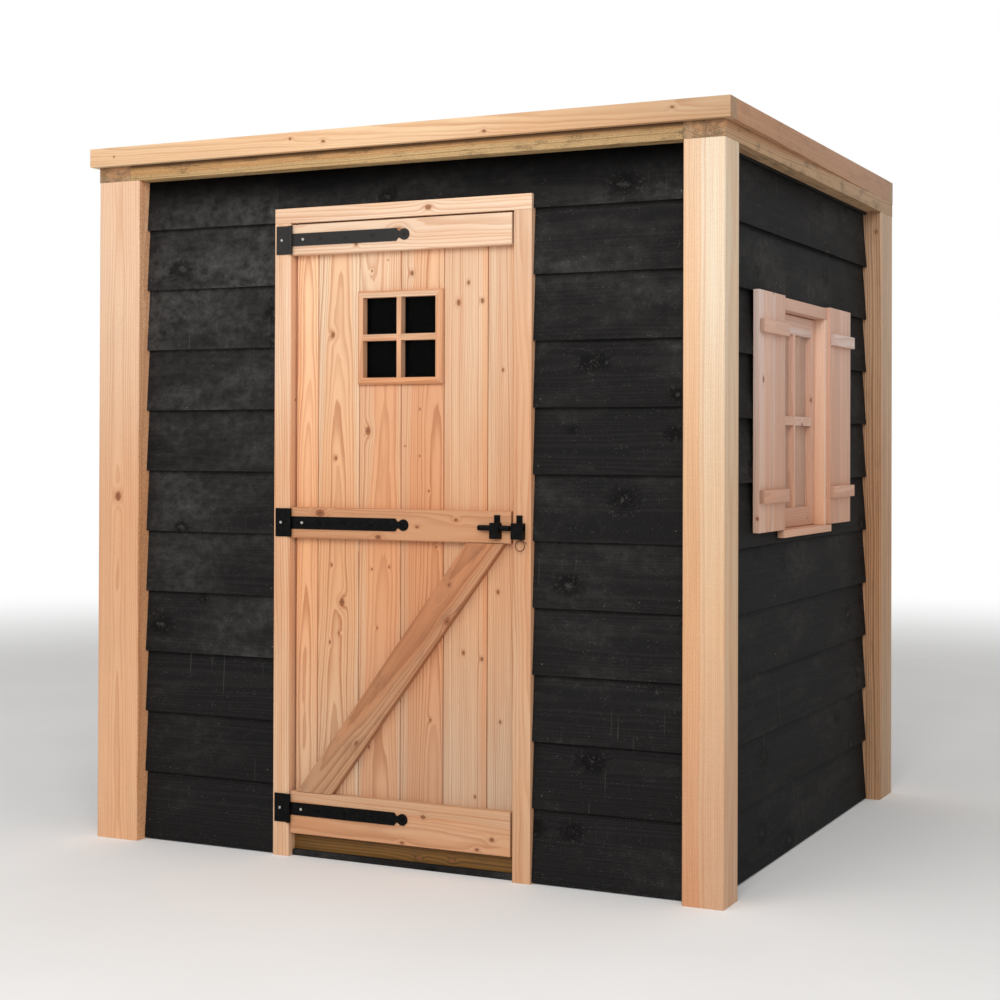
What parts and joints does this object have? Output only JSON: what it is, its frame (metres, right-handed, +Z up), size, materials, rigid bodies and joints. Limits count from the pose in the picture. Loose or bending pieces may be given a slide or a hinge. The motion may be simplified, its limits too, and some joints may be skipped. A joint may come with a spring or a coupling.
{
  "type": "wooden tool shed",
  "caption": "Flat-roofed wooden tool shed with square corner posts, black lapped boards, a ledged and braced plank door on strap hinges with a slide bolt, and a shuttered side window.",
  "frame": {"origin": "on the ground under the middle of the roof edge's outline", "axes": "+X to the right along the front, +Y from the front to the back, +Z up"},
  "size_m": [2.134, 1.92, 2.206],
  "materials": {
    "post_timber": "planed, untreated",
    "roof_edge_timber": "planed above, rough sawn below",
    "inner_timber": "rough sawn",
    "roof_membrane": "matte",
    "dark_boards": "black stain on sawn boards",
    "door_timber": "planed",
    "threshold_timber": "planed, worn",
    "window_timber": "planed",
    "glass": "clear, dark inside",
    "black_ironwork": "black powder coat",
    "bare_wire": "dull wire"
  },
  "bodies": {
    "shed": {"post_front_left": "post_timber", "post_front_right": "post_timber", "post_rear_left": "post_timber", "post_rear_right": "post_timber", "ring_beams_front_rear": "roof_edge_timber", "ring_beams_sides": "roof_edge_timber", "fascia_front_rear": "roof_edge_timber", "fascia_sides": "roof_edge_timber", "roof_joists": "inner_timber", "roof_deck": "inner_timber", "wall_studs": "inner_timber", "floor_boards": "inner_timber", "floor_bearers": "inner_timber", "roof_membrane": "roof_membrane", "front_wall_left": "dark_boards", "front_wall_right": "dark_boards", "front_wall_over_door": "dark_boards", "left_wall": "dark_boards", "rear_wall": "dark_boards", "right_wall_front_part": "dark_boards", "right_wall_rear_part": "dark_boards", "right_wall_below_window": "dark_boards", "right_wall_above_window": "dark_boards", "threshold_base": "dark_boards", "door_jambs": "door_timber", "door_head": "door_timber", "door_stops": "door_timber", "door_threshold": "threshold_timber", "window_head": "window_timber", "window_jambs": "window_timber", "window_sill": "window_timber", "window_sash": "window_timber", "shutters": "window_timber", "shutter_battens": "window_timber", "window_glass": "glass", "hinge_plates": "black_ironwork", "latch_keeper": "black_ironwork", "latch_ring": "bare_wire"},
    "door": {"door_boards": "door_timber", "door_ledges": "door_timber", "door_brace": "door_timber", "door_window_frame": "door_timber", "door_window_glass": "glass", "hinge_straps": "black_ironwork", "latch_guide": "black_ironwork"},
    "bolt": {"latch_bolt": "black_ironwork"}
  },
  "joints": [
    {"name": "door_hinge", "type": "hinge", "parent": "shed", "child": "door", "pos_m": [-0.3455, -0.912, 0], "axis": [0, 0, -1], "range_deg": [0, 165]},
    {"name": "bolt_slide", "type": "slide", "parent": "door", "child": "bolt", "axis": [1, 0, 0], "range_m": [0, 0.042]}
  ]
}
